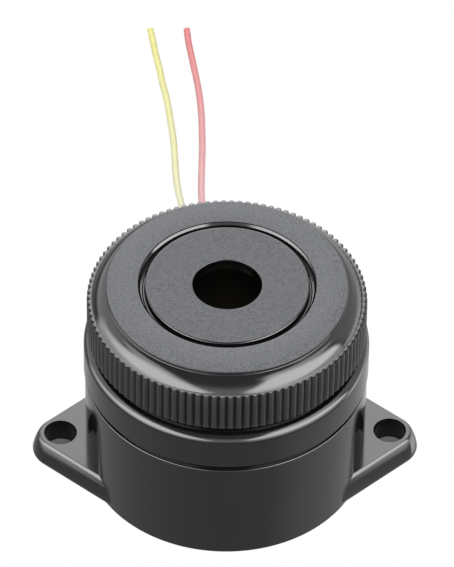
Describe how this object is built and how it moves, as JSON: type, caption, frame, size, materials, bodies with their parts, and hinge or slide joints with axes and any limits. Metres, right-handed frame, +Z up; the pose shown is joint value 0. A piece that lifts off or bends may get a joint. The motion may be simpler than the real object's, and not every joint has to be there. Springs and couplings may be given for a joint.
{
  "type": "piezo buzzer",
  "caption": "Round black piezo buzzer: moulded base with mounting ears, a case with a sound hole, a knurled ring nut round its neck and thin leads out of the back.",
  "frame": {"origin": "centre of the base's underside, under the sound hole", "axes": "+X along the line of the mounting ears, +Y towards the back, where the leads come out, +Z up through the sound hole"},
  "size_m": [0.0584, 0.115, 0.0356],
  "materials": {
    "housing_abs": "moulded, glossy sides and a matt spark-eroded front",
    "ring_abs": "moulded, matt top, glossy shoulder and ribs",
    "brass_sheet": "rolled",
    "piezo_ceramic": "fired ceramic with a silver electrode",
    "silicone": "cured bead",
    "board_laminate": "solder mask",
    "ferrite": "sintered",
    "copper_wire": "enamelled winding",
    "epoxy_black": "moulded epoxy",
    "can_sleeve": "shrink sleeve",
    "resistor_lacquer": "lacquered",
    "solder": "bright solder",
    "pvc_red": "extruded PVC",
    "pvc_yellow": "extruded PVC",
    "pvc_black": "extruded PVC"
  },
  "bodies": {
    "housing": {"base_housing": "housing_abs", "sounder_case": "housing_abs", "brass_diaphragm": "brass_sheet", "ceramic_disc": "piezo_ceramic", "silicone_bead": "silicone", "circuit_board": "board_laminate", "choke_core": "ferrite", "choke_winding": "copper_wire", "transistor": "epoxy_black", "capacitor": "can_sleeve", "diode": "epoxy_black", "resistors": "resistor_lacquer", "solder_joints": "solder", "piezo_solder_dots": "solder", "piezo_wire_centre": "pvc_red", "piezo_wire_rim": "pvc_black", "lead_tail_red": "pvc_red", "lead_tail_yellow": "pvc_yellow", "lead_red": "pvc_red", "lead_yellow": "pvc_yellow"},
    "ring": {"ring_nut": "ring_abs"}
  },
  "joints": [
    {"name": "ring_turn", "type": "hinge", "parent": "housing", "child": "ring", "pos_m": [0, 0, 0.03], "axis": [0, 0, 1], "range_deg": [0, 360]}
  ]
}
